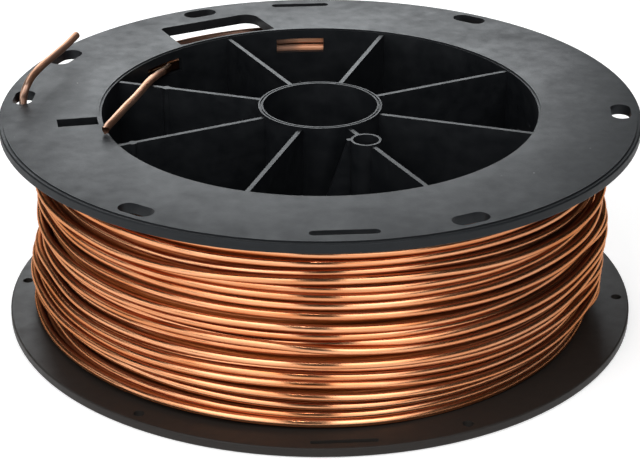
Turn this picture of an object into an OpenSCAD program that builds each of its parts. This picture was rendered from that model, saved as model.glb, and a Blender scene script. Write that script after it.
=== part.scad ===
// Spool of solid copper wire on a moulded black plastic reel.
// Two half mouldings meet at mid height; each has a flange, half of the barrel, half of the
// hub, eight webs and half of the drive-pin tube, and only the openings differ. Millimetres,
// +Z up, origin on the axis at the underside of the lower flange.

/* [Reel] */
// Overall height, from face to face
spool_h = 90.8; // [84:0.1:98]
// Diameter of both flanges
flange_d = 266.7; // [264:0.1:280]
// Thickness of a flange
flange_t = 4.4; // [3.6:0.1:5.4]
// Width of the low step round each flange's rim
rim_step_w = 1.9; // [1:0.1:2.6]
// Depth of that step below the face
rim_step_h = 0.4; // [0.2:0.1:0.8]
// Radius of the rounding on the rim's edges
rim_round = 0.7; // [0.3:0.1:1]

/* [Barrel] */
// Outer diameter of the barrel that the wire is wound on
barrel_d = 186; // [180:0.5:190]
// Wall of the barrel
barrel_wall = 2; // [1.5:0.1:3]
// Width of the ledge inside the barrel's rim
ledge_w = 1; // [0.5:0.1:1.2]
// Depth of that ledge below the face
ledge_h = 0.5; // [0.2:0.1:1]
// Width of a window through the barrel's wall
window_w = 21.5; // [16:0.5:26]
// Height of a window, measured down from the flange
window_h = 6.4; // [5:0.1:9]

/* [Hub] */
// Bore for the arbor
hub_bore_d = 47.8; // [44:0.1:50]
// Wall of the hub tube
hub_wall = 2; // [1.5:0.1:3]
// Width of the shallow groove in the hub's rim
hub_groove_w = 0.7; // [0.4:0.1:0.9]
// Depth of that groove
hub_groove_h = 0.5; // [0.2:0.1:1]

/* [Webs] */
// Thickness of a web
web_t = 1.8; // [1.4:0.1:2.8]
// How far the webs' edges lie below the face
web_drop = 1; // [0.5:0.1:3]
// Diameter of the two ejector bosses on the webs
boss_d = 3.4; // [3:0.1:4.5]

/* [Drive pin tube] */
// Bore for the drive pin
pin_bore_d = 10.5; // [9:0.1:11.5]
// Wall of the pin tube
pin_wall = 1; // [0.8:0.1:1.6]
// Distance of the pin tube from the axis
pin_offset = 40.7; // [38:0.1:46]
// How far the pin tube's end lies below the face
pin_drop = 0.5; // [0.2:0.1:2]
// Height of the gusset beside the pin tube
gusset_h = 26; // [18:0.5:34]
// Reach of the gusset at its foot
gusset_w = 10; // [6:0.5:11]

/* [Upper rim slots] */
// Length of a tie slot
tie_l = 15.4; // [12:0.1:17]
// Width of a tie slot
tie_w = 8.3; // [6:0.1:8.8]
// Distance of the slots' centre lines from the rim
tie_inset = 8.4; // [7.6:0.1:9]
// Length of the one wide tie slot
wide_l = 18.5; // [16:0.5:21]
// Width of the one wide tie slot
wide_w = 9.5; // [8.8:0.1:10]
// Length of a long gauge slot
long_l = 26.5; // [22:0.5:30]
// Width of a long gauge slot
long_w = 4; // [3:0.1:4.6]
// Distance of the long slots' centre lines from the rim
long_inset = 9.4; // [8.4:0.1:10]

/* [Lower rim holes] */
// Diameter of a round tie hole
hole_d = 4.5; // [3.5:0.1:5]
// Width of the lower flange's long slots
lower_long_w = 2.4; // [1.6:0.1:3.4]
// Distance of the holes and of these slots from the rim
hole_inset = 5.2; // [5.2:0.1:7]

/* [Upper flange openings] */
// Width of the large sight opening
sight_w = 46.5; // [38:0.5:50]
// Distance of the sight opening's outer edge from the axis
sight_r = 114.7; // [108:0.1:118]
// Corner radius at the sight opening's square end
sight_corner_a = 2.5; // [1:0.5:4]
// Corner radius at the sight opening's round end
sight_corner_b = 6.5; // [4:0.5:9]
// Width of the radial starting slot
start_w = 8; // [6:0.5:9]
// Length of the starting slot, from the barrel outward
start_l = 16.5; // [12:0.5:20]

/* [Wire] */
// Diameter of the wire
wire_d = 3.26; // [2.6:0.02:3.4]
// Diameter over the outer layer of turns
winding_d = 242; // [232:0.5:244]
// Space left between the turns and the upper flange
top_space = 4; // [3:0.1:8]
// Space left between the turns and the lower flange
bottom_space = 0.2; // [0.1:0.1:2]

/* [Hidden] */

$fn = 128;
small_fn = 40;
cut = 1; // how far a cutting solid runs past what it cuts

half_h = spool_h / 2;
flange_r = flange_d / 2;
barrel_r = barrel_d / 2;
barrel_in_r = barrel_r - barrel_wall;
hub_bore_r = hub_bore_d / 2;
hub_r = hub_bore_r + hub_wall;
pin_bore_r = pin_bore_d / 2;
pin_out_r = pin_bore_r + pin_wall;

// Azimuths, in degrees counter-clockwise from +X
web_first_az = 27;
web_step_az = 45;
pin_web = 7;
pin_az = web_az(pin_web);
tie_azimuths = [56.6, 116.6, 176.6, 236.6, 296.6, 356.6];
long_azimuths = [94.4, 274.2];
wide_az = 153.9;
sight_az = 117.2;
start_az = 191;
window_azimuths = [95.8, 139.5];

// Ejector bosses: which web, and how far from the axis
boss_webs = [[4, 69], [5, 84.5]];
gusset_t = 1.2;
gusset_pip_d = 2.2;

// Outer layer of turns
loop_count = 18;
ring_count = 24;
layer_sides = 6;
layer_start_az = 90;
layer_end_az = 195;
wander = 0.07;
wire_r = wire_d / 2;
layer_r = winding_d / 2 - wire_r;
core_r = layer_r - wire_r;
core_bottom = flange_t;
core_top = spool_h - flange_t - top_space;
layer_bottom = flange_t + bottom_space + wire_r;
layer_top = core_top - wire_r;
layer_turns = loop_count + (layer_start_az - layer_end_az + 360) / 360;
layer_steps = round(layer_turns * ring_count);
dive_r = 1.25 * wire_d; // bend by which the layer's first end turns in

// Free ends of the wire: points chosen by hand, z counted from the upper face
outer_end_points = [
    [-119.4, -15.8, -10.0], [-121.4, -8.6, -9.5], [-123.4, -2.0, -8.2],
    [-124.5, 2.0, -5.4], [-124.8, 4.0, -2.3], [-124.5, 4.8, 1.0],
    [-123.8, 4.7, 3.7], [-122.9, 6.0, 5.9], [-121.9, 10.8, 7.2],
    [-120.2, 17.0, 8.0], [-118.2, 25.0, 8.0], [-115.5, 33.4, 8.0],
    [-111.3, 45.2, 8.5], [-107.5, 58.3, 9.0]];
inner_end_points = [
    [-67.5, 66.5, -9.1], [-68.9, 61.5, -8.7], [-70.3, 56.0, -7.6],
    [-71.4, 48.5, -5.7], [-72.1, 40.0, -3.6], [-72.5, 31.0, -0.8],
    [-73.6, 21.5, 1.0], [-75.4, 12.2, 1.5], [-77.9, 0.8, 2.0],
    [-80.3, -8.8, 2.5], [-82.5, -18.4, 2.9], [-84.4, -25.2, 2.8],
    [-85.9, -29.2, 2.4], [-87.0, -33.0, 1.9]];
end_sides = 8;

function web_az(k) = web_first_az + web_step_az * (k - 1);
function polar(r, az) = [r * cos(az), r * sin(az)];
function unit(v) = v / norm(v);
function lifted(points) = [for (p = points) [p.x, p.y, p.z + spool_h]];

// Centre line of the outer layer: a climbing circle whose turns lie a little unevenly
function layer_z(t) = layer_bottom + (layer_top - layer_bottom) * t / layer_turns
    + wander * (sin(150 * t) + sin(83 * t)) * min(1, t) * min(1, layer_turns - t);
function layer_az(t) = layer_start_az - 360 * t;
function layer_point(i) = let (t = layer_turns * i / layer_steps)
    [layer_r * cos(layer_az(t)), layer_r * sin(layer_az(t)), layer_z(t)];
layer_line = [for (i = [0 : layer_steps]) layer_point(i)];

// First end: it turns in and runs straight into the pack for one wire diameter
dive_line = [for (a = [90, 60, 30]) let (
        along = dive_r * sin(a), inward = dive_r * (1 - cos(a)),
        out = polar(1, layer_start_az), side = polar(1, layer_start_az + 90))
    [for (k = [0, 1]) (layer_r - inward) * out[k] + along * side[k]]];
dive_tip = let (out = polar(1, layer_start_az), side = polar(1, layer_start_az + 90))
    [for (k = [0, 1]) (layer_r - dive_r - wire_d) * out[k] + dive_r * side[k]];
layer_first_end = [for (p = concat([dive_tip], dive_line)) [p[0], p[1], layer_bottom]];

// Last end: it leaves the pack on its tangent and runs straight for one wire diameter
layer_last = layer_line[layer_steps];
leave_dir = [sin(layer_end_az), -cos(layer_end_az), 0];
layer_last_end = layer_last + leave_dir * wire_d;
outer_end_start = [layer_last_end, layer_last_end + leave_dir * wire_d];
layer_path = concat(layer_first_end, layer_line, [layer_last_end]);

// Least gap of the layer to itself, measured on its points one turn apart
layer_gap = min([for (i = [0 : layer_steps - ring_count - 1], k = [-1 : 1])
    norm(layer_line[i] - layer_line[i + ring_count + k])]) - wire_d;
echo(least_gap_of_outer_layer_mm = layer_gap);

// A tube of flat-faced rings along a path; ref is a direction that the path never takes
module tube(path, d, sides, ref) {
    last = len(path) - 1;
    function dir(i) = unit(path[min(i + 1, last)] - path[max(i - 1, 0)]);
    function across(i) = unit(ref - dir(i) * (ref * dir(i)));
    function ring(i) = [for (k = [0 : sides - 1]) let (a = 360 * k / sides)
        path[i] + (across(i) * cos(a) + cross(dir(i), across(i)) * sin(a)) * d / 2];
    vertices = [for (i = [0 : last]) each ring(i)];
    function at(i, k) = i * sides + k % sides;
    walls = [for (i = [0 : last - 1], k = [0 : sides - 1]) each [
        [at(i, k), at(i + 1, k), at(i + 1, k + 1)],
        [at(i, k), at(i + 1, k + 1), at(i, k + 1)]]];
    first_cap = [for (k = [1 : sides - 2]) [at(0, 0), at(0, k), at(0, k + 1)]];
    last_cap = [for (k = [1 : sides - 2]) [at(last, 0), at(last, k + 1), at(last, k)]];
    polyhedron(vertices, concat(walls, first_cap, last_cap));
}

// The halves are drawn with the parting plane at z = 0 and the outer face at half_h
module upper() {
    translate([0, 0, half_h]) children();
}

module lower() {
    translate([0, 0, half_h]) mirror([0, 0, 1]) children();
}

module black() {
    color([0.16, 0.165, 0.175]) children();
}

module copper() {
    color([0.8, 0.47, 0.28]) children();
}

// Section of a flange: inner end at the barrel, outer end a stepped rim with rounded edges
module flange_section() {
    top = half_h;
    bottom = half_h - flange_t;
    step_top = top - rim_step_h;
    polygon(concat(
        [[barrel_r, bottom], [barrel_r, top], [flange_r - rim_step_w, top],
         [flange_r - rim_step_w, step_top]],
        [for (a = [90 : -15 : 0]) [flange_r - rim_round, step_top - rim_round]
            + rim_round * [cos(a), sin(a)]],
        [for (a = [0 : -15 : -90]) [flange_r - rim_round, bottom + rim_round]
            + rim_round * [cos(a), sin(a)]]));
}

// A slot with round ends, cut through the flange square to the radius at az
module round_slot(r, az, length, width) {
    reach = length / 2 - width / 2;
    rotate([0, 0, az]) translate([r, 0, half_h - flange_t - cut]) {
        translate([-width / 2, -reach, 0]) cube([width, 2 * reach, flange_t + 2 * cut]);
        for (side = [-1, 1])
            translate([0, side * reach, 0])
                cylinder(d = width, h = flange_t + 2 * cut, $fn = small_fn);
    }
}

// The sight opening: straight outer edge, one tight and one generous corner
module sight_cut() {
    a = sight_corner_a;
    b = sight_corner_b;
    hw = sight_w / 2;
    h = flange_t + 2 * cut;
    foot = barrel_in_r;
    rotate([0, 0, sight_az]) translate([0, 0, half_h - flange_t - cut]) {
        translate([foot, -hw + b, 0]) cube([sight_r - foot, sight_w - a - b, h]);
        translate([foot, -hw, 0]) cube([sight_r - b - foot, b, h]);
        translate([foot, hw - a, 0]) cube([sight_r - a - foot, a, h]);
        translate([sight_r - b, -hw + b, 0]) cylinder(r = b, h = h, $fn = small_fn);
        translate([sight_r - a, hw - a, 0]) cylinder(r = a, h = h, $fn = small_fn);
    }
}

module start_cut() {
    rotate([0, 0, start_az]) translate([barrel_in_r, -start_w / 2, half_h - flange_t - cut])
        cube([barrel_wall + start_l, start_w, flange_t + 2 * cut]);
}

module upper_flange() {
    black() difference() {
        rotate_extrude() flange_section();
        for (az = tie_azimuths) round_slot(flange_r - tie_inset, az, tie_l, tie_w);
        for (az = long_azimuths) round_slot(flange_r - long_inset, az, long_l, long_w);
        round_slot(flange_r - tie_inset, wide_az, wide_l, wide_w);
        sight_cut();
        start_cut();
    }
}

// Holes in place of the tie slots, at the same azimuths but nearer to the rim
module lower_flange() {
    hole_r = flange_r - hole_inset;
    black() difference() {
        rotate_extrude() flange_section();
        for (az = tie_azimuths)
            translate(concat(polar(hole_r, az), half_h - flange_t - cut))
                cylinder(d = hole_d, h = flange_t + 2 * cut, $fn = small_fn);
        for (az = long_azimuths) round_slot(hole_r, az, long_l, lower_long_w);
    }
}

module barrel(has_windows) {
    window_depth = 6 * barrel_wall; // deep enough for the flat cut to clear the round wall
    black() difference() {
        rotate_extrude() polygon([
            [barrel_in_r, 0], [barrel_r, 0], [barrel_r, half_h],
            [barrel_in_r + ledge_w, half_h], [barrel_in_r + ledge_w, half_h - ledge_h],
            [barrel_in_r, half_h - ledge_h]]);
        if (has_windows)
            for (az = window_azimuths)
                rotate([0, 0, az])
                    translate([barrel_r + cut - window_depth, -window_w / 2,
                               half_h - flange_t - window_h])
                        cube([window_depth, window_w, window_h]);
    }
}

module hub() {
    groove_in_r = hub_bore_r + (hub_wall - hub_groove_w) / 2;
    black() difference() {
        cylinder(r = hub_r, h = half_h);
        translate([0, 0, -cut]) cylinder(r = hub_bore_r, h = half_h + 2 * cut);
        translate([0, 0, half_h - hub_groove_h]) difference() {
            cylinder(r = groove_in_r + hub_groove_w, h = hub_groove_h + cut);
            translate([0, 0, -cut]) cylinder(r = groove_in_r, h = hub_groove_h + 3 * cut);
        }
    }
}

// One web, from the hub's wall to the barrel's; the pin tube stands in one of them
module web(k) {
    web_h = half_h - web_drop;
    black() difference() {
        union() {
            intersection() {
                rotate([0, 0, web_az(k)]) translate([hub_bore_r, -web_t / 2, 0])
                    cube([barrel_r - hub_bore_r, web_t, web_h]);
                cylinder(r = barrel_in_r, h = web_h);
            }
            for (boss = boss_webs)
                if (boss[0] == k)
                    translate(concat(polar(boss[1], web_az(k)), 0))
                        cylinder(d = boss_d, h = web_h, $fn = small_fn);
        }
        translate([0, 0, -cut]) cylinder(r = hub_r, h = half_h + 2 * cut);
        if (k == pin_web)
            translate(concat(polar(pin_offset, pin_az), -cut))
                cylinder(r = pin_out_r, h = half_h + 2 * cut, $fn = small_fn);
    }
}

// Thin tube for the drive pin, with a tapered gusset that ends in a small pip
module pin_tube() {
    tube_h = half_h - pin_drop;
    black() translate(concat(polar(pin_offset, pin_az), 0)) difference() {
        union() {
            cylinder(r = pin_out_r, h = tube_h, $fn = small_fn);
            translate([0, gusset_t / 2, 0]) rotate([90, 0, 0])
                linear_extrude(gusset_t) polygon([
                    [-pin_bore_r, tube_h - gusset_h],
                    [-pin_bore_r, tube_h],
                    [-pin_out_r - gusset_pip_d / 2, tube_h],
                    [-pin_out_r - gusset_w, tube_h - gusset_h]]);
            translate([-pin_out_r - gusset_pip_d / 4, 0, tube_h - gusset_pip_d])
                cylinder(d = gusset_pip_d, h = gusset_pip_d, $fn = small_fn);
        }
        translate([0, 0, -cut]) cylinder(r = pin_bore_r, h = half_h + 2 * cut, $fn = small_fn);
    }
}

// Inner layers of the winding, as one plain ring on the barrel
module wire_core() {
    copper() difference() {
        translate([0, 0, core_bottom]) cylinder(r = core_r, h = core_top - core_bottom);
        translate([0, 0, core_bottom - cut]) cylinder(r = barrel_r, h = spool_h);
    }
}

module wire_outer_layer() {
    copper() tube(layer_path, wire_d, layer_sides, [0, 0, 1]);
}

module wire_outer_end() {
    copper() tube(concat(outer_end_start, lifted(outer_end_points)),
                  wire_d, end_sides, [1, 0, 0]);
}

module wire_inner_end() {
    copper() tube(lifted(inner_end_points), wire_d, end_sides, [1, 0, 0]);
}

upper() upper_flange();
upper() barrel(true);  // upper_barrel
upper() hub();  // upper_hub
upper() pin_tube();  // upper_pin_tube
upper() web(1);  // upper_web_1
upper() web(2);  // upper_web_2
upper() web(3);  // upper_web_3
upper() web(4);  // upper_web_4
upper() web(5);  // upper_web_5
upper() web(6);  // upper_web_6
upper() web(7);  // upper_web_7
upper() web(8);  // upper_web_8
lower() lower_flange();
lower() barrel(false);  // lower_barrel
lower() hub();  // lower_hub
lower() pin_tube();  // lower_pin_tube
lower() web(1);  // lower_web_1
lower() web(2);  // lower_web_2
lower() web(3);  // lower_web_3
lower() web(4);  // lower_web_4
lower() web(5);  // lower_web_5
lower() web(6);  // lower_web_6
lower() web(7);  // lower_web_7
lower() web(8);  // lower_web_8
wire_core();
wire_outer_layer();
wire_outer_end();
wire_inner_end();
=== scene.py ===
# %% [markdown]
# # A reel of bare copper wire
# The solid model comes in as a fixed frame: two black mouldings, split into flange, barrel, hub,
# pin tube and webs, and a plain winding. Here the mouldings get their plastic, and the winding
# and the wire's two free ends are made anew with the uneven turns that a real reel has.

# %% Load the solid model
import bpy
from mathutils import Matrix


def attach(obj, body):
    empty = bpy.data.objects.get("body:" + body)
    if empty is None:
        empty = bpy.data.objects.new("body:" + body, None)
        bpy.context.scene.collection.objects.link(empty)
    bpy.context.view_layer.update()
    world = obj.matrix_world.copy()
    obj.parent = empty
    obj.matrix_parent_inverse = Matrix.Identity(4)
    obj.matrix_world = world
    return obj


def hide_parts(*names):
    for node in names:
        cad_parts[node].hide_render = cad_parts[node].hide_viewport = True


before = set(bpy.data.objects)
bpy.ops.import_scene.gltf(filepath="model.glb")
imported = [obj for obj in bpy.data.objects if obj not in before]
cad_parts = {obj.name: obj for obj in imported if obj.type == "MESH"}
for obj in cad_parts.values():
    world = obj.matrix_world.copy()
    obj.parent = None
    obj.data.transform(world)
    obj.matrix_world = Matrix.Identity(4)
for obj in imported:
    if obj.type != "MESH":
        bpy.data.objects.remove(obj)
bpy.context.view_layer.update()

import math

import bmesh
import bpy
import numpy as np
from mathutils import Matrix, Vector

MM = 0.001
BODY = "spool"

# %% [markdown]
# ## The camera
# A long lens looks down at the reel from about 25 degrees. The camera's matrix is written out
# from its own three axes, because that says exactly where it looks, with no tracking to solve.

# %% Set the camera
ELEVATION = 0.445332
ROLL = 0.00102
LENS_MM = 119.786
SENSOR_MM = 36
FARTHEST = 100
CAMERA_MM = (0.0, -825.64, 426.94)


def in_scene(name, data):
    """A new object that stands at the origin."""
    obj = bpy.data.objects.new(name, data)
    bpy.context.scene.collection.objects.link(obj)
    return obj


def camera_axes():
    """The directions of the camera's right side, its top and its back."""
    ahead = Vector((0, math.cos(ELEVATION), -math.sin(ELEVATION)))
    across = Vector((1, 0, 0))
    above = across.cross(ahead)
    right = across * math.cos(ROLL) + above * math.sin(ROLL)
    up = above * math.cos(ROLL) - across * math.sin(ROLL)
    return right, up, -ahead


lens = bpy.data.cameras.new("camera")
lens.lens = LENS_MM
lens.sensor_width = SENSOR_MM
lens.clip_end = FARTHEST
camera = in_scene("camera", lens)
turned = Matrix(camera_axes()).transposed().to_4x4()
camera.matrix_world = Matrix.Translation(Vector(CAMERA_MM) * MM) @ turned
bpy.context.scene.camera = camera
print("camera looks down at", round(math.degrees(ELEVATION), 1), "degrees")

# %% [markdown]
# ## A tube of wire
# Every stretch of wire is a Blender curve with a round bevel, turned into a mesh. The mesh then
# gets two attributes. `straight` is each point's place on the wire as if it had never been bent,
# so that the fine lines of the drawing die follow every turn. `crown` says how far a point faces
# outward and a little up, away from the reel's barrel; where it is high the copper is left bright,
# and where it is low oxide and painted shade go on.

# %% Make a tube of wire
WIRE_R = 1.63 * MM
OUTWARD, UPWARD = 0.91, 0.42


def smooth_path(knots, steps):
    """A Catmull-Rom curve through the knots."""
    p = np.array(knots, float)
    p = np.vstack([2 * p[0] - p[1], p, 2 * p[-1] - p[-2]])
    out = []
    for i in range(1, len(p) - 2):
        for t in np.arange(steps) / steps:
            a, b, c, d = p[i - 1], p[i], p[i + 1], p[i + 2]
            out.append(0.5 * (2 * b + (c - a) * t + (2 * a - 5 * b + 4 * c - d) * t ** 2
                              + (3 * b - a - 3 * c + d) * t ** 3))
    return np.array(out + [p[-2]])


def wire_mesh(name, path, sides):
    """A closed round tube along a path in metres, as an object with its place in its mesh."""
    curve = bpy.data.curves.new(name + "_line", "CURVE")
    curve.dimensions = "3D"
    curve.bevel_depth = WIRE_R
    curve.bevel_resolution = sides // 2 - 2
    curve.use_fill_caps = True
    spline = curve.splines.new("POLY")
    spline.points.add(len(path) - 1)
    spline.points.foreach_set("co", np.c_[path, np.ones(len(path))].ravel())
    line = in_scene(name + "_line", curve)
    bpy.context.view_layer.update()
    bevelled = line.evaluated_get(bpy.context.evaluated_depsgraph_get())
    mesh = bpy.data.meshes.new_from_object(bevelled)
    bpy.data.objects.remove(line)
    mesh.name = name
    mark_wire(mesh, path)
    obj = in_scene(name, mesh)
    for face in mesh.polygons:
        face.use_smooth = len(face.vertices) == 4
    return obj


def mark_wire(mesh, path):
    """Writes each vertex's place on the straightened wire, and how much it faces outward."""
    co = np.zeros(len(mesh.vertices) * 3)
    mesh.vertices.foreach_get("co", co)
    co = co.reshape(-1, 3)
    sides = len(co) // len(path)
    ring = np.minimum(np.arange(len(co)) // sides, len(path) - 1)
    along = np.r_[0, np.cumsum(np.linalg.norm(np.diff(path, axis=0), axis=1))]
    ahead = np.gradient(path, axis=0)
    ahead /= np.linalg.norm(ahead, axis=1)[:, None]
    out = path * (1, 1, 0)
    out = out / np.linalg.norm(out, axis=1)[:, None] * OUTWARD + np.array((0, 0, UPWARD))
    out -= ahead * (out * ahead).sum(1)[:, None]
    out /= np.linalg.norm(out, axis=1)[:, None]
    side = np.cross(ahead, out)
    offset = co - path[ring]
    straight = np.c_[(offset * out[ring]).sum(1), (offset * side[ring]).sum(1), along[ring]]
    place = mesh.attributes.new("straight", "FLOAT_VECTOR", "POINT")
    place.data.foreach_set("vector", straight.ravel())
    crown = mesh.attributes.new("crown", "FLOAT", "POINT")
    crown.data.foreach_set("value", straight[:, 0] / WIRE_R)


# %% [markdown]
# ## The wire's free ends
# The outer end climbs through a tie slot and leans over the upper flange. The inner end comes out
# of a window in the barrel, crosses a web and lies on the flange's inner edge. Such stiff wire
# holds the shape it was bent to, so both routes are a few points with a smooth curve through them,
# the same points as in the solid model.

# %% Bend the free ends
LAST_END = (-116.14, -27.75, 80.77)
OUTER_END = [(-116.98, -24.60, 80.77), (-119.4, -15.8, 80.8), (-121.4, -8.6, 81.3),
             (-123.4, -2.0, 82.6), (-124.5, 2.0, 85.4), (-124.8, 4.0, 88.5), (-124.5, 4.8, 91.8),
             (-123.8, 4.7, 94.5), (-122.9, 6.0, 96.7), (-121.9, 10.8, 98.0), (-120.2, 17.0, 98.8),
             (-118.2, 25.0, 98.8), (-115.5, 33.4, 98.8), (-111.3, 45.2, 99.3), (-107.5, 58.3, 99.8)]
INNER_END = [(-67.5, 66.5, 81.7), (-68.9, 61.5, 82.1), (-70.3, 56.0, 83.2), (-71.4, 48.5, 85.1),
             (-72.1, 40.0, 87.2), (-72.5, 31.0, 90.0), (-73.6, 21.5, 91.8), (-75.4, 12.2, 92.3),
             (-77.9, 0.8, 92.8), (-80.3, -8.8, 93.3), (-82.5, -18.4, 93.7), (-84.4, -25.2, 93.6),
             (-85.9, -29.2, 93.2), (-87.0, -33.0, 92.6)]
END_STEPS = 8
END_SIDES = 16
PINCH_SLANT = math.radians(40)


def path_length(path):
    return float(np.linalg.norm(np.diff(path, axis=0), axis=1).sum())


def free_end(name, knots, node):
    """A stretch of wire that stands for the solid of one free end."""
    path = smooth_path(knots, END_STEPS) * MM
    piece = wire_mesh(name, path, END_SIDES)
    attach(piece, BODY)
    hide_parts(node)
    print(name, round(path_length(path) / MM, 1), "mm long")
    return piece


def pinch(piece, tip, before):
    """Cuts the tip to a blunt wedge, as a pair of side cutters leaves it."""
    tip, ahead = Vector(tip) * MM, (Vector(tip) - Vector(before)).normalized()
    side = ahead.cross(Vector((0, 0, 1))).normalized()
    bm = bmesh.new()
    bm.from_mesh(piece.data)
    for way in (1, -1):
        normal = ahead * math.cos(PINCH_SLANT) + side * way * math.sin(PINCH_SLANT)
        cut = bmesh.ops.bisect_plane(bm, geom=bm.verts[:] + bm.edges[:] + bm.faces[:],
                                     plane_co=tip, plane_no=normal, clear_outer=True)
        rim = [e for e in cut["geom_cut"] if isinstance(e, bmesh.types.BMEdge)]
        for face in bmesh.ops.holes_fill(bm, edges=rim, sides=0)["faces"]:
            face.smooth = False
    bm.to_mesh(piece.data)
    bm.free()


outer_end = free_end("outer_end", [LAST_END] + OUTER_END, "wire_outer_end")
inner_end = free_end("inner_end", INNER_END, "wire_inner_end")
pinch(inner_end, INNER_END[-1], INNER_END[-2])

# %% [markdown]
# ## The outer turns
# A reel this size isn't wound evenly: turns bunch, spread and sink between their neighbours. The
# table holds the height and the radius of each turn's middle at ten bearings round the front, from
# the lowest turn to the highest. Round the back a turn drifts over to the start of the next one.
# Two short tables say how far the outermost turns reach at the left and the right. Neighbours that
# would cut each other are then pushed apart, as tight wire does by itself. Heights and radii are
# in millimetres, bearings in degrees.

# %% Write down the outer turns
BEARINGS = (335, 320, 305, 290, 275, 260, 245, 230, 215, 200)
TURNS = (
    ("6.8 6.6 6.2 6.2 6.6 7.3 7.8 8.0 7.7 7.1",
     "113.9 114.7 115.6 116.9 118.2 119.0 119.7 120.2 120.4 120.6"),
    ("10.1 9.9 9.4 9.4 9.8 10.2 10.4 10.3 10.2 10.5",
     "113.9 114.7 115.6 116.4 117.3 117.5 117.2 117.0 116.8 116.6"),
    ("13.4 13.4 13.4 13.3 13.8 14.8 16.1 17.3 17.8 17.8",
     "113.9 114.7 115.6 116.7 117.7 118.2 118.5 118.6 118.6 118.6"),
    ("18.4 17.3 16.8 17.3 18.3 19.5 20.4 20.8 21.2 21.3",
     "118.1 118.1 118.1 118.5 119.0 119.4 119.8 120.4 121.0 121.2"),
    ("20.5 20.2 20.2 21.5 23.6 24.5 24.5 23.9 23.4 23.2",
     "114.8 115.7 116.6 117.7 118.8 119.2 119.3 119.2 118.5 118.5"),
    ("23.3 23.5 23.9 25.3 26.8 27.8 27.7 27.1 26.7 26.5",
     "116.6 115.9 116.1 117.1 118.1 118.6 118.5 118.3 118.3 118.2"),
    ("26.0 26.8 27.2 28.5 29.5 29.5 28.3 26.9 25.8 25.7",
     "114.8 115.9 116.1 116.1 116.2 115.7 115.3 115.1 115.1 115.0"),
    ("32.8 32.0 31.4 31.8 32.6 33.0 32.5 31.7 31.3 31.9",
     "118.7 118.9 119.1 119.3 119.5 119.0 118.2 117.5 117.3 117.1"),
    ("36.7 36.7 36.7 36.7 36.7 36.7 36.2 34.9 34.2 34.1",
     "114.5 114.6 114.6 115.5 116.3 116.0 115.2 114.5 114.3 114.1"),
    ("36.3 36.3 36.3 37.0 39.0 40.9 40.4 38.5 38.4 38.1",
     "117.8 118.2 118.6 118.8 119.8 119.3 118.2 116.6 116.7 116.6"),
    ("41.3 41.3 41.1 40.6 40.8 40.4 40.5 41.4 41.1 41.0",
     "119.1 119.4 119.6 118.8 117.0 116.0 114.9 115.0 114.8 114.9"),
    ("41.3 41.5 42.4 43.3 44.1 44.3 44.5 44.3 44.0 44.0",
     "115.8 116.1 116.6 116.9 117.6 117.3 116.9 116.6 116.5 116.3"),
    ("46.3 46.6 46.0 46.5 47.6 48.6 48.8 48.7 49.3 50.0",
     "116.1 116.7 117.1 117.8 118.4 118.7 119.0 119.1 119.1 119.1"),
    ("49.2 49.7 50.7 51.9 52.9 53.4 53.2 52.7 52.4 53.6",
     "117.8 117.6 117.6 117.8 118.0 117.5 116.7 116.0 115.8 115.6"),
    ("55.5 56.0 56.1 56.6 57.1 57.3 57.4 57.4 57.5 57.8",
     "118.6 118.6 118.7 118.2 117.7 117.0 116.2 115.5 115.3 115.1"),
    ("58.7 58.7 58.9 59.9 60.8 61.3 61.2 60.8 60.7 61.2",
     "116.2 116.7 117.0 117.5 118.0 117.6 116.7 116.1 116.1 116.1"),
    ("62.0 62.0 62.2 63.1 64.0 64.6 64.5 64.2 64.3 64.5",
     "116.3 116.7 117.1 117.3 117.5 117.1 116.4 115.9 115.8 115.5"),
    ("63.5 64.2 65.7 67.7 68.7 68.2 66.8 65.9 66.2 65.1",
     "119.2 119.1 119.1 119.1 119.2 119.0 118.8 118.7 118.6 118.7"),
    ("64.8 66.9 68.9 70.5 71.0 70.2 68.9 68.3 68.1 67.9",
     "114.6 115.5 116.1 116.5 116.9 116.2 115.0 114.0 113.7 113.4"),
    ("72.8 72.8 73.8 74.6 74.9 75.0 75.1 75.6 76.0 76.0",
     "116.7 116.9 117.1 117.3 117.5 117.7 118.0 118.1 118.1 118.1"),
    ("78.0 78.0 78.0 78.2 78.8 79.5 79.7 79.4 79.4 79.4",
     "117.7 117.9 118.1 118.1 118.1 118.1 118.1 118.1 118.1 118.1"),
)
LEFT_OUTLINE = ((13, 121.0), (15, 121.7), (20, 122.3), (25, 122.0), (27, 121.1), (30, 120.5),
                (32, 120.0), (34, 119.0), (37, 117.3), (39, 116.2), (41, 116.9), (44, 117.6),
                (48, 118.2), (53, 118.0), (58, 116.9), (60, 117.2))
RIGHT_OUTLINE = ((15, 118.9), (21, 119.0), (27, 119.7), (33, 119.6), (39, 120.4), (42, 120.7),
                 (46, 120.4), (51, 119.3), (55, 117.9), (60, 117.9))
STEP = 15
BACK_STEPS = 14
FLOOR_OF_TURNS = 6.15
ROOF_OF_TURNS = 80.77
LAYER_R = 119.37
print(len(TURNS), "outer turns at", len(BEARINGS), "bearings")


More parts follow.
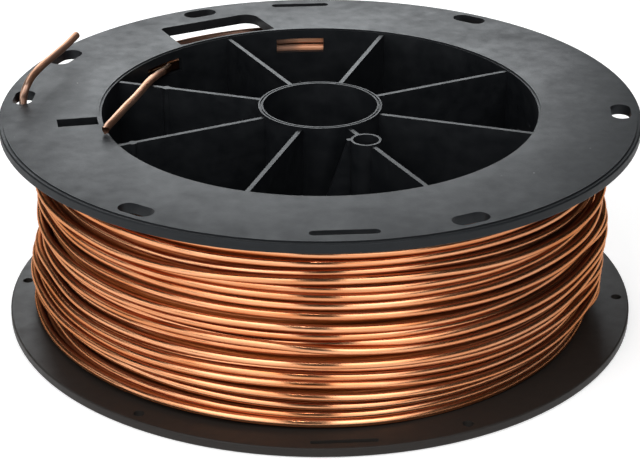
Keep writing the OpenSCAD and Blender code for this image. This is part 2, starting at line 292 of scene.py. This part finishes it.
def turn_knots():
    """Height and radius of every turn at every 15 degrees, going round with falling bearing."""
    z = np.array([[float(v) for v in row[0].split()] for row in TURNS])
    r = np.array([[float(v) for v in row[1].split()] for row in TURNS])
    count = len(TURNS)
    knots = np.zeros((count, len(BEARINGS) + BACK_STEPS, 2))
    start = np.array([FLOOR_OF_TURNS, LAYER_R])
    for i in range(count):
        last = start if i == 0 else np.array([z[i - 1, -1], r[i - 1, -1]])
        first = np.array([z[i, 0], r[i, 0]])
        for k in range(BACK_STEPS):
            f = (k + 1) / (BACK_STEPS + 1)
            ease = f * f * (3 - 2 * f)
            knots[i, k] = last + (first - last) * ease
            if i == count - 1:
                roof = np.array([ROOF_OF_TURNS, LAYER_R])
                knots[i, k] += (roof - knots[i, k]) * math.sin(math.pi * f)
        knots[i, BACK_STEPS:, 0] = z[i]
        knots[i, BACK_STEPS:, 1] = r[i]
    return knots


# %% Make room between the outer turns
SPACING = 3.29
PUSH_ROUNDS = 400
PUSH_SHARE = 0.3
RADII_OF_TURNS = (113.2, 122.4)
SAME_LEVEL = 2.5
OUTLINE_MARGIN = 3


def meet_outline(column, outline, share):
    """Moves turns in or out until the outermost of them reach an outline of heights and radii."""
    heights, radii = zip(*outline)
    near = np.abs(column[:, None, 0] - column[None, :, 0]) < SAME_LEVEL
    reach = np.where(near, column[None, :, 1], 0).max(1)
    inside = ((column[:, 0] > heights[0] - OUTLINE_MARGIN)
              & (column[:, 0] < heights[-1] + OUTLINE_MARGIN))
    wanted = np.interp(column[:, 0], heights, radii)
    column[:, 1] += np.where(inside, wanted - reach, 0) * share


def push_apart(knots):
    """Moves neighbours that are closer than a wire's width, at each bearing by itself."""
    for k in range(knots.shape[1]):
        column = knots[:, k]
        for _ in range(PUSH_ROUNDS):
            for gap in (1, 2, 3):
                step = column[gap:] - column[:-gap]
                size = np.maximum(np.hypot(step[:, 0], step[:, 1]), 0.01)
                push = np.maximum(SPACING - size, 0) * PUSH_SHARE
                move = step / size[:, None] * push[:, None]
                column[gap:] += move
                column[:-gap] -= move
            column[:, 0] = np.clip(column[:, 0], FLOOR_OF_TURNS, ROOF_OF_TURNS)
            column[:, 1] = np.clip(column[:, 1], *RADII_OF_TURNS)
    return knots


def settled_turns():
    """Every turn's height and radius once the outline is met and the neighbours have made room."""
    knots = turn_knots()
    for step, share in ((0, 1.0), (1, 0.6)):
        meet_outline(knots[:, step], LEFT_OUTLINE, share)
        meet_outline(knots[:, BACK_STEPS - 1 - step], RIGHT_OUTLINE, share)
    return push_apart(knots)


turns = settled_turns()
print("turns reach from", turns[..., 1].min().round(1), "to", turns[..., 1].max().round(1), "mm")

# %% [markdown]
# ## One tube through all the outer turns
# The turns are one unbroken wire, so one path runs through every height and radius and ends where
# the outer end starts. A slow wobble of a few hundredths of a millimetre keeps the lines of light
# on the copper from looking ruled.

# %% Lay the outer turns
WIRE_STARTS = 90
WIRE_ENDS = 195
TURN_STEPS = 6
TURN_SIDES = 12
WOBBLE = 0.035
SLOW_WINDOW, FINE_WINDOW = 41, 7
FADE_POINTS = 12
drift = np.random.default_rng(7)


def on_turn(bearing, radius, height):
    a = math.radians(bearing)
    return (radius * math.cos(a), radius * math.sin(a), height)


def running_mean(rows, width):
    """The mean of each column over a window, with the ends held."""
    pad = ((width // 2, width // 2), (0, 0))
    padded = np.pad(rows, pad, mode="edge")
    padded = np.cumsum(np.vstack([np.zeros(rows.shape[1]), padded]), axis=0)
    return (padded[width:] - padded[:-width]) / width


def wobbles(count):
    """Small moves in radius and height that come and go slowly and fade out at both ends."""
    wobble = np.cumsum(drift.normal(0, 1, (count, 2)), axis=0)
    for _ in range(3):
        wobble -= running_mean(wobble, SLOW_WINDOW)
    wobble = running_mean(wobble, FINE_WINDOW)
    wobble *= WOBBLE / wobble.std()
    from_ends = np.minimum(np.arange(count), np.arange(count)[::-1])
    return wobble * np.minimum(1, from_ends / FADE_POINTS)[:, None]


def outer_turn_path(knots):
    """The way of the wire through all the turns, in metres, up to the outer end."""
    first_knot = BEARINGS[0] + BACK_STEPS * STEP - 360
    end = WIRE_ENDS - 360 * len(TURNS)
    points = [(first_knot - STEP * i, r, z) for i, (z, r) in enumerate(knots.reshape(-1, 2))]
    points = [p for p in points if end + STEP / 2 < p[0] <= WIRE_STARTS]
    points.append((end, LAYER_R, ROOF_OF_TURNS))
    track = smooth_path(points, TURN_STEPS)
    track[:, 1:] += wobbles(len(track))
    path = np.array([on_turn(*p) for p in track])
    return np.vstack([path, [LAST_END]]) * MM


def winding_piece(name, path, sides):
    piece = wire_mesh(name, path, sides)
    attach(piece, BODY)
    print(name, len(piece.data.polygons), "faces,", round(path_length(path), 2), "m of wire")
    return piece


winding_outer = winding_piece("winding_outer", outer_turn_path(turns), TURN_SIDES)
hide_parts("wire_outer_layer")

# %% [markdown]
# ## The turns beneath
# Only three other stretches of the winding can be seen: the layer that shows dark between the
# outer turns, the top layer under the flange's sight opening, and the very first turns, which show
# through the barrel's windows. Each is one strand on a plain formula, and the first of them is
# then drawn outward to lie close under the outer turns. A turned ring fills the rest.

# %% Lay the layer beneath the outer turns
HEIGHT_SWAY, RADIUS_SWAY = 5.1, 3.7
NEAR_HEIGHT = 3
LOW_TURNS = 9
LOW_SUNK = 3.2
UNDER_LIMIT = 118
UNDER_WINDOW = 13
UNDER_SIDES = 8


def helix(radius, z0, z1, start, turns, steps, sway):
    """A strand that climbs at a steady rate and sways a little."""
    a = np.linspace(0, turns, int(turns * steps))
    z = z0 + (z1 - z0) * a / turns + sway * np.sin(a * HEIGHT_SWAY)
    r = radius + 0.5 * sway * np.sin(a * RADIUS_SWAY + 1.0)
    return np.array([on_turn(start - 360 * t, rr, zz) for t, rr, zz in zip(a, r, z)]) * MM


def layer_below(radius, sunk, **climb):
    """A strand that lies close under the outer turns, wherever they stand out."""
    path = helix(radius, **climb)
    bearing = np.degrees(np.arctan2(path[:, 1], path[:, 0]))
    column = np.round((BEARINGS[0] + BACK_STEPS * STEP - bearing) / STEP).astype(int)
    column %= turns.shape[1]
    near = np.abs(turns[:, column, 0] - path[:, 2] / MM) < NEAR_HEIGHT
    depth = np.where(path[:, 2] < LOW_TURNS * MM, LOW_SUNK, sunk)
    reach = np.where(near, turns[:, column, 1], 0).max(0) - depth
    reach = running_mean(np.clip(reach, radius, UNDER_LIMIT)[:, None], UNDER_WINDOW) * MM
    path[:, :2] *= reach / np.linalg.norm(path[:, :2], axis=1)[:, None]
    return path


under_path = layer_below(radius=111.9, sunk=4.7, z0=6.2, z1=80.2, start=80, turns=21.6, steps=80,
                         sway=0.25)
winding_under = winding_piece("winding_under", under_path, UNDER_SIDES)
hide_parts("wire_core")

# %% Lay the top layer and the first turns
TOP_HEIGHT_SWAY, TOP_RADIUS_SWAY = 2.9, 4.3
FIRST_TURNS = 3
FIRST_R = 94.7
FIRST_TOP = 84.7
FIRST_PITCH = 4.1
FIRST_BEARING = 95
KNOT_STEP = 30


def spiral(r0, r1, height, turns, steps, sway):
    """A flat strand that winds outward and sways a little."""
    a = np.linspace(0, turns, int(turns * steps))
    r = r0 + (r1 - r0) * a / turns + 0.4 * sway * np.sin(a * TOP_RADIUS_SWAY)
    z = height - sway + sway * np.sin(a * TOP_HEIGHT_SWAY)
    return np.array([on_turn(-360 * t, rr, zz) for t, rr, zz in zip(a, r, z)]) * MM


def first_turns():
    """From the window where the inner end leaves, up to the flange and then down the barrel."""
    knots = [(135.4, 94.76, 81.7), (125, 94.9, 82.6), (110, 94.75, 84.2),
             (FIRST_BEARING, FIRST_R, FIRST_TOP)]
    knots += [(FIRST_BEARING - KNOT_STEP * k, FIRST_R,
               FIRST_TOP - FIRST_PITCH * KNOT_STEP * k / 360)
              for k in range(1, FIRST_TURNS * 360 // KNOT_STEP + 1)]
    return np.array([on_turn(*p) for p in smooth_path(knots, 5)]) * MM


top_path = spiral(r0=94.8, r1=115.2, height=80.3, turns=6.1, steps=90, sway=0.25)
winding_top = winding_piece("winding_top", top_path, UNDER_SIDES)
winding_first = winding_piece("winding_first", first_turns(), TURN_SIDES)

# %% Fill the winding
RING_STEPS = 96


def turned_ring(name, r0, r1, z0, z1):
    """A plain ring, spun from a square outline."""
    bm = bmesh.new()
    corners = [bm.verts.new(Vector((r, 0, z)) * MM)
               for r, z in ((r0, z0), (r1, z0), (r1, z1), (r0, z1))]
    outline = [bm.edges.new((corners[i], corners[(i + 1) % 4])) for i in range(4)]
    bmesh.ops.spin(bm, geom=corners + outline, cent=(0, 0, 0), axis=(0, 0, 1), angle=math.tau,
                   steps=RING_STEPS, use_merge=True)
    bmesh.ops.remove_doubles(bm, verts=bm.verts, dist=0.01 * MM)
    bmesh.ops.recalc_face_normals(bm, faces=bm.faces)
    mesh = bpy.data.meshes.new(name)
    bm.to_mesh(mesh)
    bm.free()
    obj = in_scene(name, mesh)
    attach(obj, BODY)
    return obj


winding_fill = turned_ring("winding_fill", r0=96.6, r1=109.8, z0=4.6, z1=77.5)
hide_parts("wire_core")
print("winding_fill", len(winding_fill.data.polygons), "faces")

# %% [markdown]
# ## Writing shader sums in Python
# A material is a graph of small nodes. Wrapping a socket in a class that knows + - * / lets the
# graph be written as sums, and one method makes every other kind of node.

# %% A socket that can be added and multiplied
class Sum:
    """A number in a material's graph."""

    def __init__(self, bench, socket):
        self.bench, self.socket = bench, socket

    def _math(self, kind, a, b):
        return self.bench.node("ShaderNodeMath", {"operation": kind}, {0: a, 1: b})

    def __add__(self, other): return self._math("ADD", self, other)
    def __radd__(self, other): return self._math("ADD", other, self)
    def __sub__(self, other): return self._math("SUBTRACT", self, other)
    def __rsub__(self, other): return self._math("SUBTRACT", other, self)
    def __mul__(self, other): return self._math("MULTIPLY", self, other)
    def __rmul__(self, other): return self._math("MULTIPLY", other, self)
    def __truediv__(self, other): return self._math("DIVIDE", self, other)
    def __rtruediv__(self, other): return self._math("DIVIDE", other, self)


class Bench:
    """One material and the nodes laid out on it."""

    def __init__(self, name):
        self.material = bpy.data.materials.new(name)
        self.material.use_nodes = True
        self.nodes, self.links = self.material.node_tree.nodes, self.material.node_tree.links
        self.shader = self.nodes["Principled BSDF"]

    def node(self, kind, settings, inputs, out=0):
        """Makes a node, sets it up and feeds it, and hands back one of its outputs."""
        made = self.nodes.new(kind)
        for key, value in settings.items():
            if key == "stops":
                self.stops(made.color_ramp, value)
            else:
                setattr(made, key, value)
        for key, value in inputs.items():
            self.feed(made.inputs[key], value)
        return Sum(self, made.outputs[out])

    def stops(self, ramp, stops):
        while len(ramp.elements) < len(stops):
            ramp.elements.new(1)
        for element, (place, level) in zip(ramp.elements, stops):
            element.position = place
            element.color = (level, level, level, 1)

    def feed(self, socket, value):
        if isinstance(value, Sum):
            self.links.new(value.socket, socket)
        else:
            socket.default_value = value

    def set(self, **inputs):
        """Feeds the surface's own sockets. A name has _ where the socket's has a space."""
        for key, value in inputs.items():
            self.feed(self.shader.inputs[key.replace("_", " ")], value)

    def place(self, stretch=(1, 1, 1)):
        """Object coordinates, stretched."""
        return self.stretched(self.node("ShaderNodeTexCoord", {}, {}, "Object"), stretch)

    def stretched(self, where, stretch):
        return self.node("ShaderNodeMapping", {"vector_type": "POINT"},
                         {"Vector": where, "Scale": stretch})

    def attribute(self, name, out):
        return self.node("ShaderNodeAttribute", {"attribute_name": name}, {}, out)

    def third(self, where):
        """The third number of a vector."""
        return self.node("ShaderNodeSeparateXYZ", {}, {"Vector": where}, "Z")

    def measure(self, kind, where, other=(0, 0, 0)):
        """One number from two vectors: their DISTANCE or DOT_PRODUCT, or the first's LENGTH."""
        return self.node("ShaderNodeVectorMath", {"operation": kind}, {0: where, 1: other}, "Value")

    def noise(self, where, scale, detail=3.0, rough=0.55):
        return self.node("ShaderNodeTexNoise", {"noise_dimensions": "3D"},
                         {"Vector": where, "Scale": scale, "Detail": detail, "Roughness": rough},
                         "Fac")

    def ramp(self, value, *stops):
        return self.node("ShaderNodeValToRGB", {"stops": stops}, {"Fac": value})

    def blend(self, amount, a, b):
        """A colour between two others. A colour input takes four numbers."""
        return self.node("ShaderNodeMix", {"data_type": "RGBA"}, {0: amount, 6: a, 7: b}, 2)

    def bump(self, height, distance, strength):
        return self.node("ShaderNodeBump", {},
                         {"Height": height, "Distance": distance, "Strength": strength})


# %% [markdown]
# ## Copper
# Drawn copper has fine lines along the wire, left by the die, and a brown skin that is partly oxide
# where turns touch and partly painted shade on the wire's undersides. Both come from the two
# attributes of the wire: noise stretched along `straight` makes the lines, and a low `crown` lets
# the skin and shade in. The front, where the lamps fall, is kept brightest, and away from its
# bearing a painted shade creeps over the whole wire. The layer under the sight opening has a stain
# on it. Deep between turns, under the flange and behind a window the copper is blended towards a
# dark brown, a painted shade.

# %% Choose the copper's colours and places
STAIN_AT = (-46 * MM, 108 * MM, 82 * MM)
STAIN_R = 46 * MM
# The front's bearing, towards the camera and the lamps: copper there is kept bright, and a painted
# shade darkens the wire away from it.
LIT_FRONT_BEARING = math.radians(259)
LIT_FRONT = (math.cos(LIT_FRONT_BEARING), math.sin(LIT_FRONT_BEARING), 0)
LIT_FRONT_R = 120 * MM
# Where the painted shade round the inner end's window is centred, and how far it reaches.
WINDOW_AT = (-68 * MM, 65 * MM, 82 * MM)
WINDOW_DARK_R = 24 * MM
# Colour of the skin, partly oxide and partly painted shade: brown on the far sides, rosier on the
# lit front.
SKIN_AND_SHADE = ((0.235, 0.082, 0.044, 1), (0.45, 0.105, 0.024, 1))
STAIN = ((0.14, 0.08, 0.058, 1), (0.34, 0.22, 0.17, 1))
# Painted shade between the turns.
SHADE_BETWEEN_TURNS = (0.10, 0.034, 0.012, 1)
# Painted shade along a stretch of wire under the flange or a window's lintel.
SHADE_ALONG_WIRE = (0.045, 0.016, 0.007, 1)
# Painted shade round the window where the inner end leaves.
SHADE_IN_WINDOW = (0.012, 0.005, 0.003, 1)
WARM = ((0.62, 0.215, 0.08, 1), (0.88, 0.44, 0.24, 1))
# A lighter copy of the copper for the first turns, a painted light where they show through the
# barrel's window.
LIT_ROSE = ((0.80, 0.32, 0.16, 1), (1.0, 0.60, 0.40, 1))
PINK = ((0.62, 0.32, 0.18, 1), (0.98, 0.80, 0.68, 1))
DULL = ((0.44, 0.27, 0.20, 1), (0.60, 0.42, 0.34, 1))
EDGE = (0.92, 0.64, 0.47, 1)
PINK_EDGE = (1.0, 0.82, 0.70, 1)
DIE_MARK = 0.045 * MM
# How much painted shade falls over the whole wire away from the lit front.
FAR_SIDE_SHADE = 0.38
# Squeeze along the wire, scale across it and detail of each kind of line
FINE_LINES = (0.012, 2600, 3)
STREAKS = (0.03, 1100, 2)
BROAD_BANDS = (0.06, 420, 2)


# %% Mix the copper
def die_lines(b, straight, squeeze, scale, detail):
    """Noise drawn out along the wire. A smaller squeeze gives longer lines."""
    return b.noise(b.stretched(straight, (1, 1, squeeze)), scale, detail)


def painted_shade(b, straight, shade, dark_until, dark_near):
    """How much painted shade each place gets, from 0 to 1, and the colour of that shade."""
    if dark_near:
        away = b.measure("DISTANCE", b.place(), dark_near)
        return b.ramp(away / WINDOW_DARK_R, (0.75, 1), (1, 0)), SHADE_IN_WINDOW
    if dark_until:
        span = {"From Min": 0.7 * dark_until, "From Max": dark_until, "To Min": 0.95, "To Max": 0.0}
        along = b.third(straight)
        return b.node("ShaderNodeMapRange", {}, {"Value": along, **span}), SHADE_ALONG_WIRE
    return shade, SHADE_BETWEEN_TURNS


def copper(name, low, high, rough=0.17, veil=1.0, dull=0.0, edge=EDGE, shade=0.0, dark_until=0.0,
           dark_near=None, ring=False):
    """Drawn copper between two tones, with its die lines, its skin of oxide and painted shade, and
    its stain.

    veil says how much of the skin and painted shade there is, dull takes metal away and edge is the
    tint at a low angle. A painted shade darkens the copper all over by shade, or up to dark_until
    along the wire, or around the point dark_near. ring draws the gloss out round the wire.
    """
    b = Bench(name)
    straight = b.attribute("straight", "Vector")
    crown = b.attribute("crown", "Fac")
    lines = die_lines(b, straight, *FINE_LINES)
    streaks = die_lines(b, straight, *STREAKS)
    broad = die_lines(b, straight, *BROAD_BANDS)
    patches = b.noise(straight, 38, 3)

    away = b.measure("DISTANCE", b.place(), STAIN_AT) / STAIN_R
    stained = b.ramp(away + (patches - 0.5) * 0.5, (0.72, 1), (0.86, 0))
    facing = b.measure("DOT_PRODUCT", b.place(), LIT_FRONT)
    front = b.ramp(facing / LIT_FRONT_R, (0.60, 0), (0.90, 1))
    # A low crown gives oxide where turns touch and painted shade on the wire's undersides; away
    # from the front a painted shade covers the whole wire.
    skin_and_shade = b.ramp(crown + (patches - 0.5) * 0.3 + (lines - 0.5) * 0.12, (0.08, 1), (0.50, 0))
    skin_and_shade = (skin_and_shade + (1 - skin_and_shade) * (1 - front) * FAR_SIDE_SHADE) * veil

    tone = b.ramp(broad * 0.4 + streaks * 0.4 + lines * 0.2, (0.38, 0), (0.62, 1))
    colour = b.blend(skin_and_shade, b.blend(tone, low, high), b.blend(front, *SKIN_AND_SHADE))
    colour = b.blend(stained * 0.85, colour, b.blend(tone, *STAIN))
    dark, dark_colour = painted_shade(b, straight, shade, dark_until, dark_near)
    b.set(Base_Color=b.blend(dark, colour, dark_colour),
          Metallic=1 - dull - skin_and_shade * (front * 0.40 + 0.12),
          Roughness=rough + streaks * 0.07 + skin_and_shade * 0.15 + stained * 0.15,
          Specular_Tint=edge, Specular_IOR_Level=0.0,
          Normal=b.bump(streaks + lines * 0.2, DIE_MARK, 0.5))
    if ring:
        b.set(Anisotropic=0.7, Anisotropic_Rotation=0.25)
    print(name, len(b.nodes), "nodes")
    return b.material


bright_copper = copper("bright_copper", *WARM, ring=True)
# The layer beneath and the fill get a painted shade all over.
shaded_buried_copper = copper("shaded_buried_copper", *WARM, shade=0.3, ring=True)
# The top layer's first 0.75 m, under the flange, is painted in shade.
top_copper = copper("top_copper", *DULL, dark_until=750 * MM)
outer_end_copper = copper("outer_end_copper", *PINK, rough=0.33, veil=0.65, edge=PINK_EDGE)
# The inner end's first 13 mm, behind the window, is painted in shade.
inner_end_copper = copper("inner_end_copper", *PINK, rough=0.33, veil=0.65, edge=PINK_EDGE,
                          dark_until=13 * MM)
# The first turns: painted shade round the window where the inner end leaves, and a lighter rose
# colour, a painted light, where they show through the far window.
window_copper = copper("window_copper", *LIT_ROSE, rough=0.4, veil=0.1, dull=0.7, dark_near=WINDOW_AT)

# %% [markdown]
# ## Black plastic
# The mouldings are satin black. Their colour hardly varies, so the life is in the gloss: a cloudy
# haze from handling, a faint grain from the mould, a duller surface towards the rim, and a few
# specks of dust. On the lower flange, fine dust has settled and turns the black warmer.

# %% Mix the plastic
BLACK = ((0.006, 0.0068, 0.0082, 1), (0.013, 0.0142, 0.016, 1))
DUST = (0.30, 0.30, 0.29, 1)
SETTLED_DUST = (0.022, 0.018, 0.0155, 1)
SETTLED_UP_TO = 20 * MM
RIM_R = 150 * MM
GRAIN_DEPTH = 0.05 * MM


def moulded_plastic(name):
    b = Bench(name)
    where = b.place()
    cloud = b.noise(where, 14, 4)
    smudge = b.noise(b.place((1, 1, 3)), 45, 5, 0.6)
    fine = b.noise(where, 190, 4, 0.6)
    haze = b.ramp(cloud * 0.25 + smudge * 0.35 + fine * 0.4, (0.38, 0), (0.62, 1))
    grain = b.noise(where, 2200, 2)
    specks = b.node("ShaderNodeTexVoronoi", {"feature": "F1"}, {"Vector": where, "Scale": 160.0},
                    "Distance")
    dusty = b.ramp(b.noise(where, 90, 1), (0.58, 0), (0.66, 1))
    dust = b.ramp(specks, (0.035, 1), (0.07, 0)) * dusty
    settled = b.ramp(b.third(where) / SETTLED_UP_TO, (0.25, 1), (0.45, 0))
    rim = b.ramp(b.measure("LENGTH", b.place((1, 1, 0))) / RIM_R, (0.63, 0), (0.88, 1))

    colour = b.blend(dust * 0.7, b.blend(haze, *BLACK), DUST)
    b.set(Base_Color=b.blend(settled, colour, SETTLED_DUST),
          Roughness=0.345 + haze * 0.15 + rim * 0.09 + dust * 0.3,
          Specular_IOR_Level=0.25, Specular_Tint=(0.90, 0.96, 1.0, 1),
          Normal=b.bump(grain + smudge * 0.5, GRAIN_DEPTH, 0.5))
    print(name, len(b.nodes), "nodes")
    return b.material


plastic = moulded_plastic("reel_plastic")

# %% [markdown]
# ## Dressing the pieces
# Each new piece of wire gets its own copper. The solids of the mouldings have the right shape, so
# they stay and only their material slots change.

# %% Dress the pieces
DRESS = {winding_outer: bright_copper, winding_under: shaded_buried_copper, winding_fill: shaded_buried_copper,
         winding_top: top_copper, winding_first: window_copper,
         outer_end: outer_end_copper, inner_end: inner_end_copper}
for piece, material in DRESS.items():
    piece.data.materials.append(material)
mouldings = [obj for node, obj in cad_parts.items() if not node.startswith("wire")]
for obj in mouldings:
    for slot in obj.material_slots:
        slot.material = plastic
    if not obj.material_slots:
        obj.data.materials.append(plastic)
print(len(DRESS), "pieces of wire and", len(mouldings), "solids dressed")

# %% [markdown]
# ## The floor
# The reel stands on a plain white floor. Part of what the camera and the shiny pieces see of it is
# a glow of its own, so it stays white under weak lamps, and the reel's shadow still falls on it.

# %% Lay the floor
FLOOR_SIZE = 12
FLOOR_DROP = 0.05 * MM
FLOOR_GLOW = 0.6


def white_floor():
    b = Bench("floor_white")
    rays = [b.node("ShaderNodeLightPath", {}, {}, f"Is {kind} Ray")
            for kind in ("Camera", "Glossy", "Transmission")]
    seen = rays[0]
    for ray in rays[1:]:
        seen = b.node("ShaderNodeMath", {"operation": "MAXIMUM"}, {0: seen, 1: ray})
    b.set(Base_Color=(0.7, 0.7, 0.7, 1), Roughness=0.9, Specular_IOR_Level=0.0,
          Emission_Color=(1, 1, 1, 1), Emission_Strength=seen * FLOOR_GLOW)
    return b.material


def flat_floor():
    bm = bmesh.new()
    bmesh.ops.create_grid(bm, x_segments=1, y_segments=1, size=FLOOR_SIZE)
    bmesh.ops.translate(bm, verts=bm.verts, vec=(0, 0, -FLOOR_DROP))
    mesh = bpy.data.meshes.new("floor")
    bm.to_mesh(mesh)
    bm.free()
    floor = in_scene("floor", mesh)
    floor.data.materials.append(white_floor())


flat_floor()
print("floor", 2 * FLOOR_SIZE, "m wide")

# %% [markdown]
# ## The lamps
# Each turn is a little round mirror, so the lamps' edges are what shows on it. Two panels lean
# over the reel in front, left and right of the camera, each with a brighter one in its upper part.
# Their inner edges run straight away from the camera, and the gap between them shows as a dark
# band down the middle of the copper. Two weak lamps at the left light that side, a small one in
# front makes a glint, and two behind give the black face its sheen.

# %% Hang the lamps
REEL_MIDDLE = (0, 0, 0.05)
FOOT, TOP = (-2.0, 0.05), (-0.35, 2.2)
KEY_FOOT, KEY_TOP = (-1.35, 0.9), (-0.5, 2.0)


def soft_light(name, width, height, watts):
    """A square light, not yet hung."""
    light = bpy.data.lights.new(name, "AREA")
    light.shape, light.size, light.size_y, light.energy = "RECTANGLE", width, height, watts
    return in_scene(name, light)


def lamp(name, bearing, elevation, distance, width, height, watts, tint=(1, 1, 1)):
    """A soft square lamp that faces the reel."""
    obj = soft_light(name, width, height, watts)
    obj.data.color = tint
    a, e = math.radians(bearing), math.radians(elevation)
    way = Vector((math.cos(a) * math.cos(e), math.sin(a) * math.cos(e), math.sin(e))) * distance
    turned = way.to_track_quat("Z", "Y").to_matrix().to_4x4()
    obj.matrix_world = Matrix.Translation(way + Vector(REEL_MIDDLE)) @ turned


def panel(name, x0, x1, foot, top, radiance):
    """A flat softbox that leans over the reel, from a low front edge to a high back one."""
    foot, top = Vector((0, *foot)), Vector((0, *top))
    rise = top - foot
    width, height = x1 - x0, rise.length
    obj = soft_light(name, width, height, radiance * math.pi * width * height)
    across, up = Vector((1, 0, 0)), rise.normalized()
    axes = Matrix((across, up, across.cross(up))).transposed().to_4x4()
    obj.matrix_world = Matrix.Translation((foot + top) / 2 + across * (x0 + x1) / 2) @ axes


panel("panel_left", -1.9, -0.27, FOOT, TOP, 1.65)
panel("panel_left_key", -1.3, -0.27, KEY_FOOT, KEY_TOP, 1.2)
lamp("lamp_left_low", 204, 14, 2.2, 1.0, 0.8, 4)
lamp("lamp_left_side", 172, 30, 2.2, 0.8, 0.6, 1.5)
panel("panel_right", 0.22, 1.2, FOOT, TOP, 1.65)
panel("panel_right_key", 0.22, 0.9, KEY_FOOT, KEY_TOP, 1.5)
lamp("lamp_glint", 266, 62, 2.2, 0.10, 0.10, 1.2)
lamp("lamp_back_low", 96, 15, 0.85, 0.62, 0.4, 3.2, (0.94, 0.975, 1.0))
lamp("lamp_back_high", 112, 46, 2.2, 1.2, 0.9, 7.5)
print(len(bpy.data.lights), "lamps")

# %% Light the room
ROOM_LIGHT = 0.006

world = bpy.data.worlds.new("studio")
world.use_nodes = True
background = world.node_tree.nodes["Background"]
background.inputs["Color"].default_value = (1, 1, 1, 1)
background.inputs["Strength"].default_value = ROOM_LIGHT
bpy.context.scene.world = world
bpy.context.scene.view_settings.view_transform = "Standard"
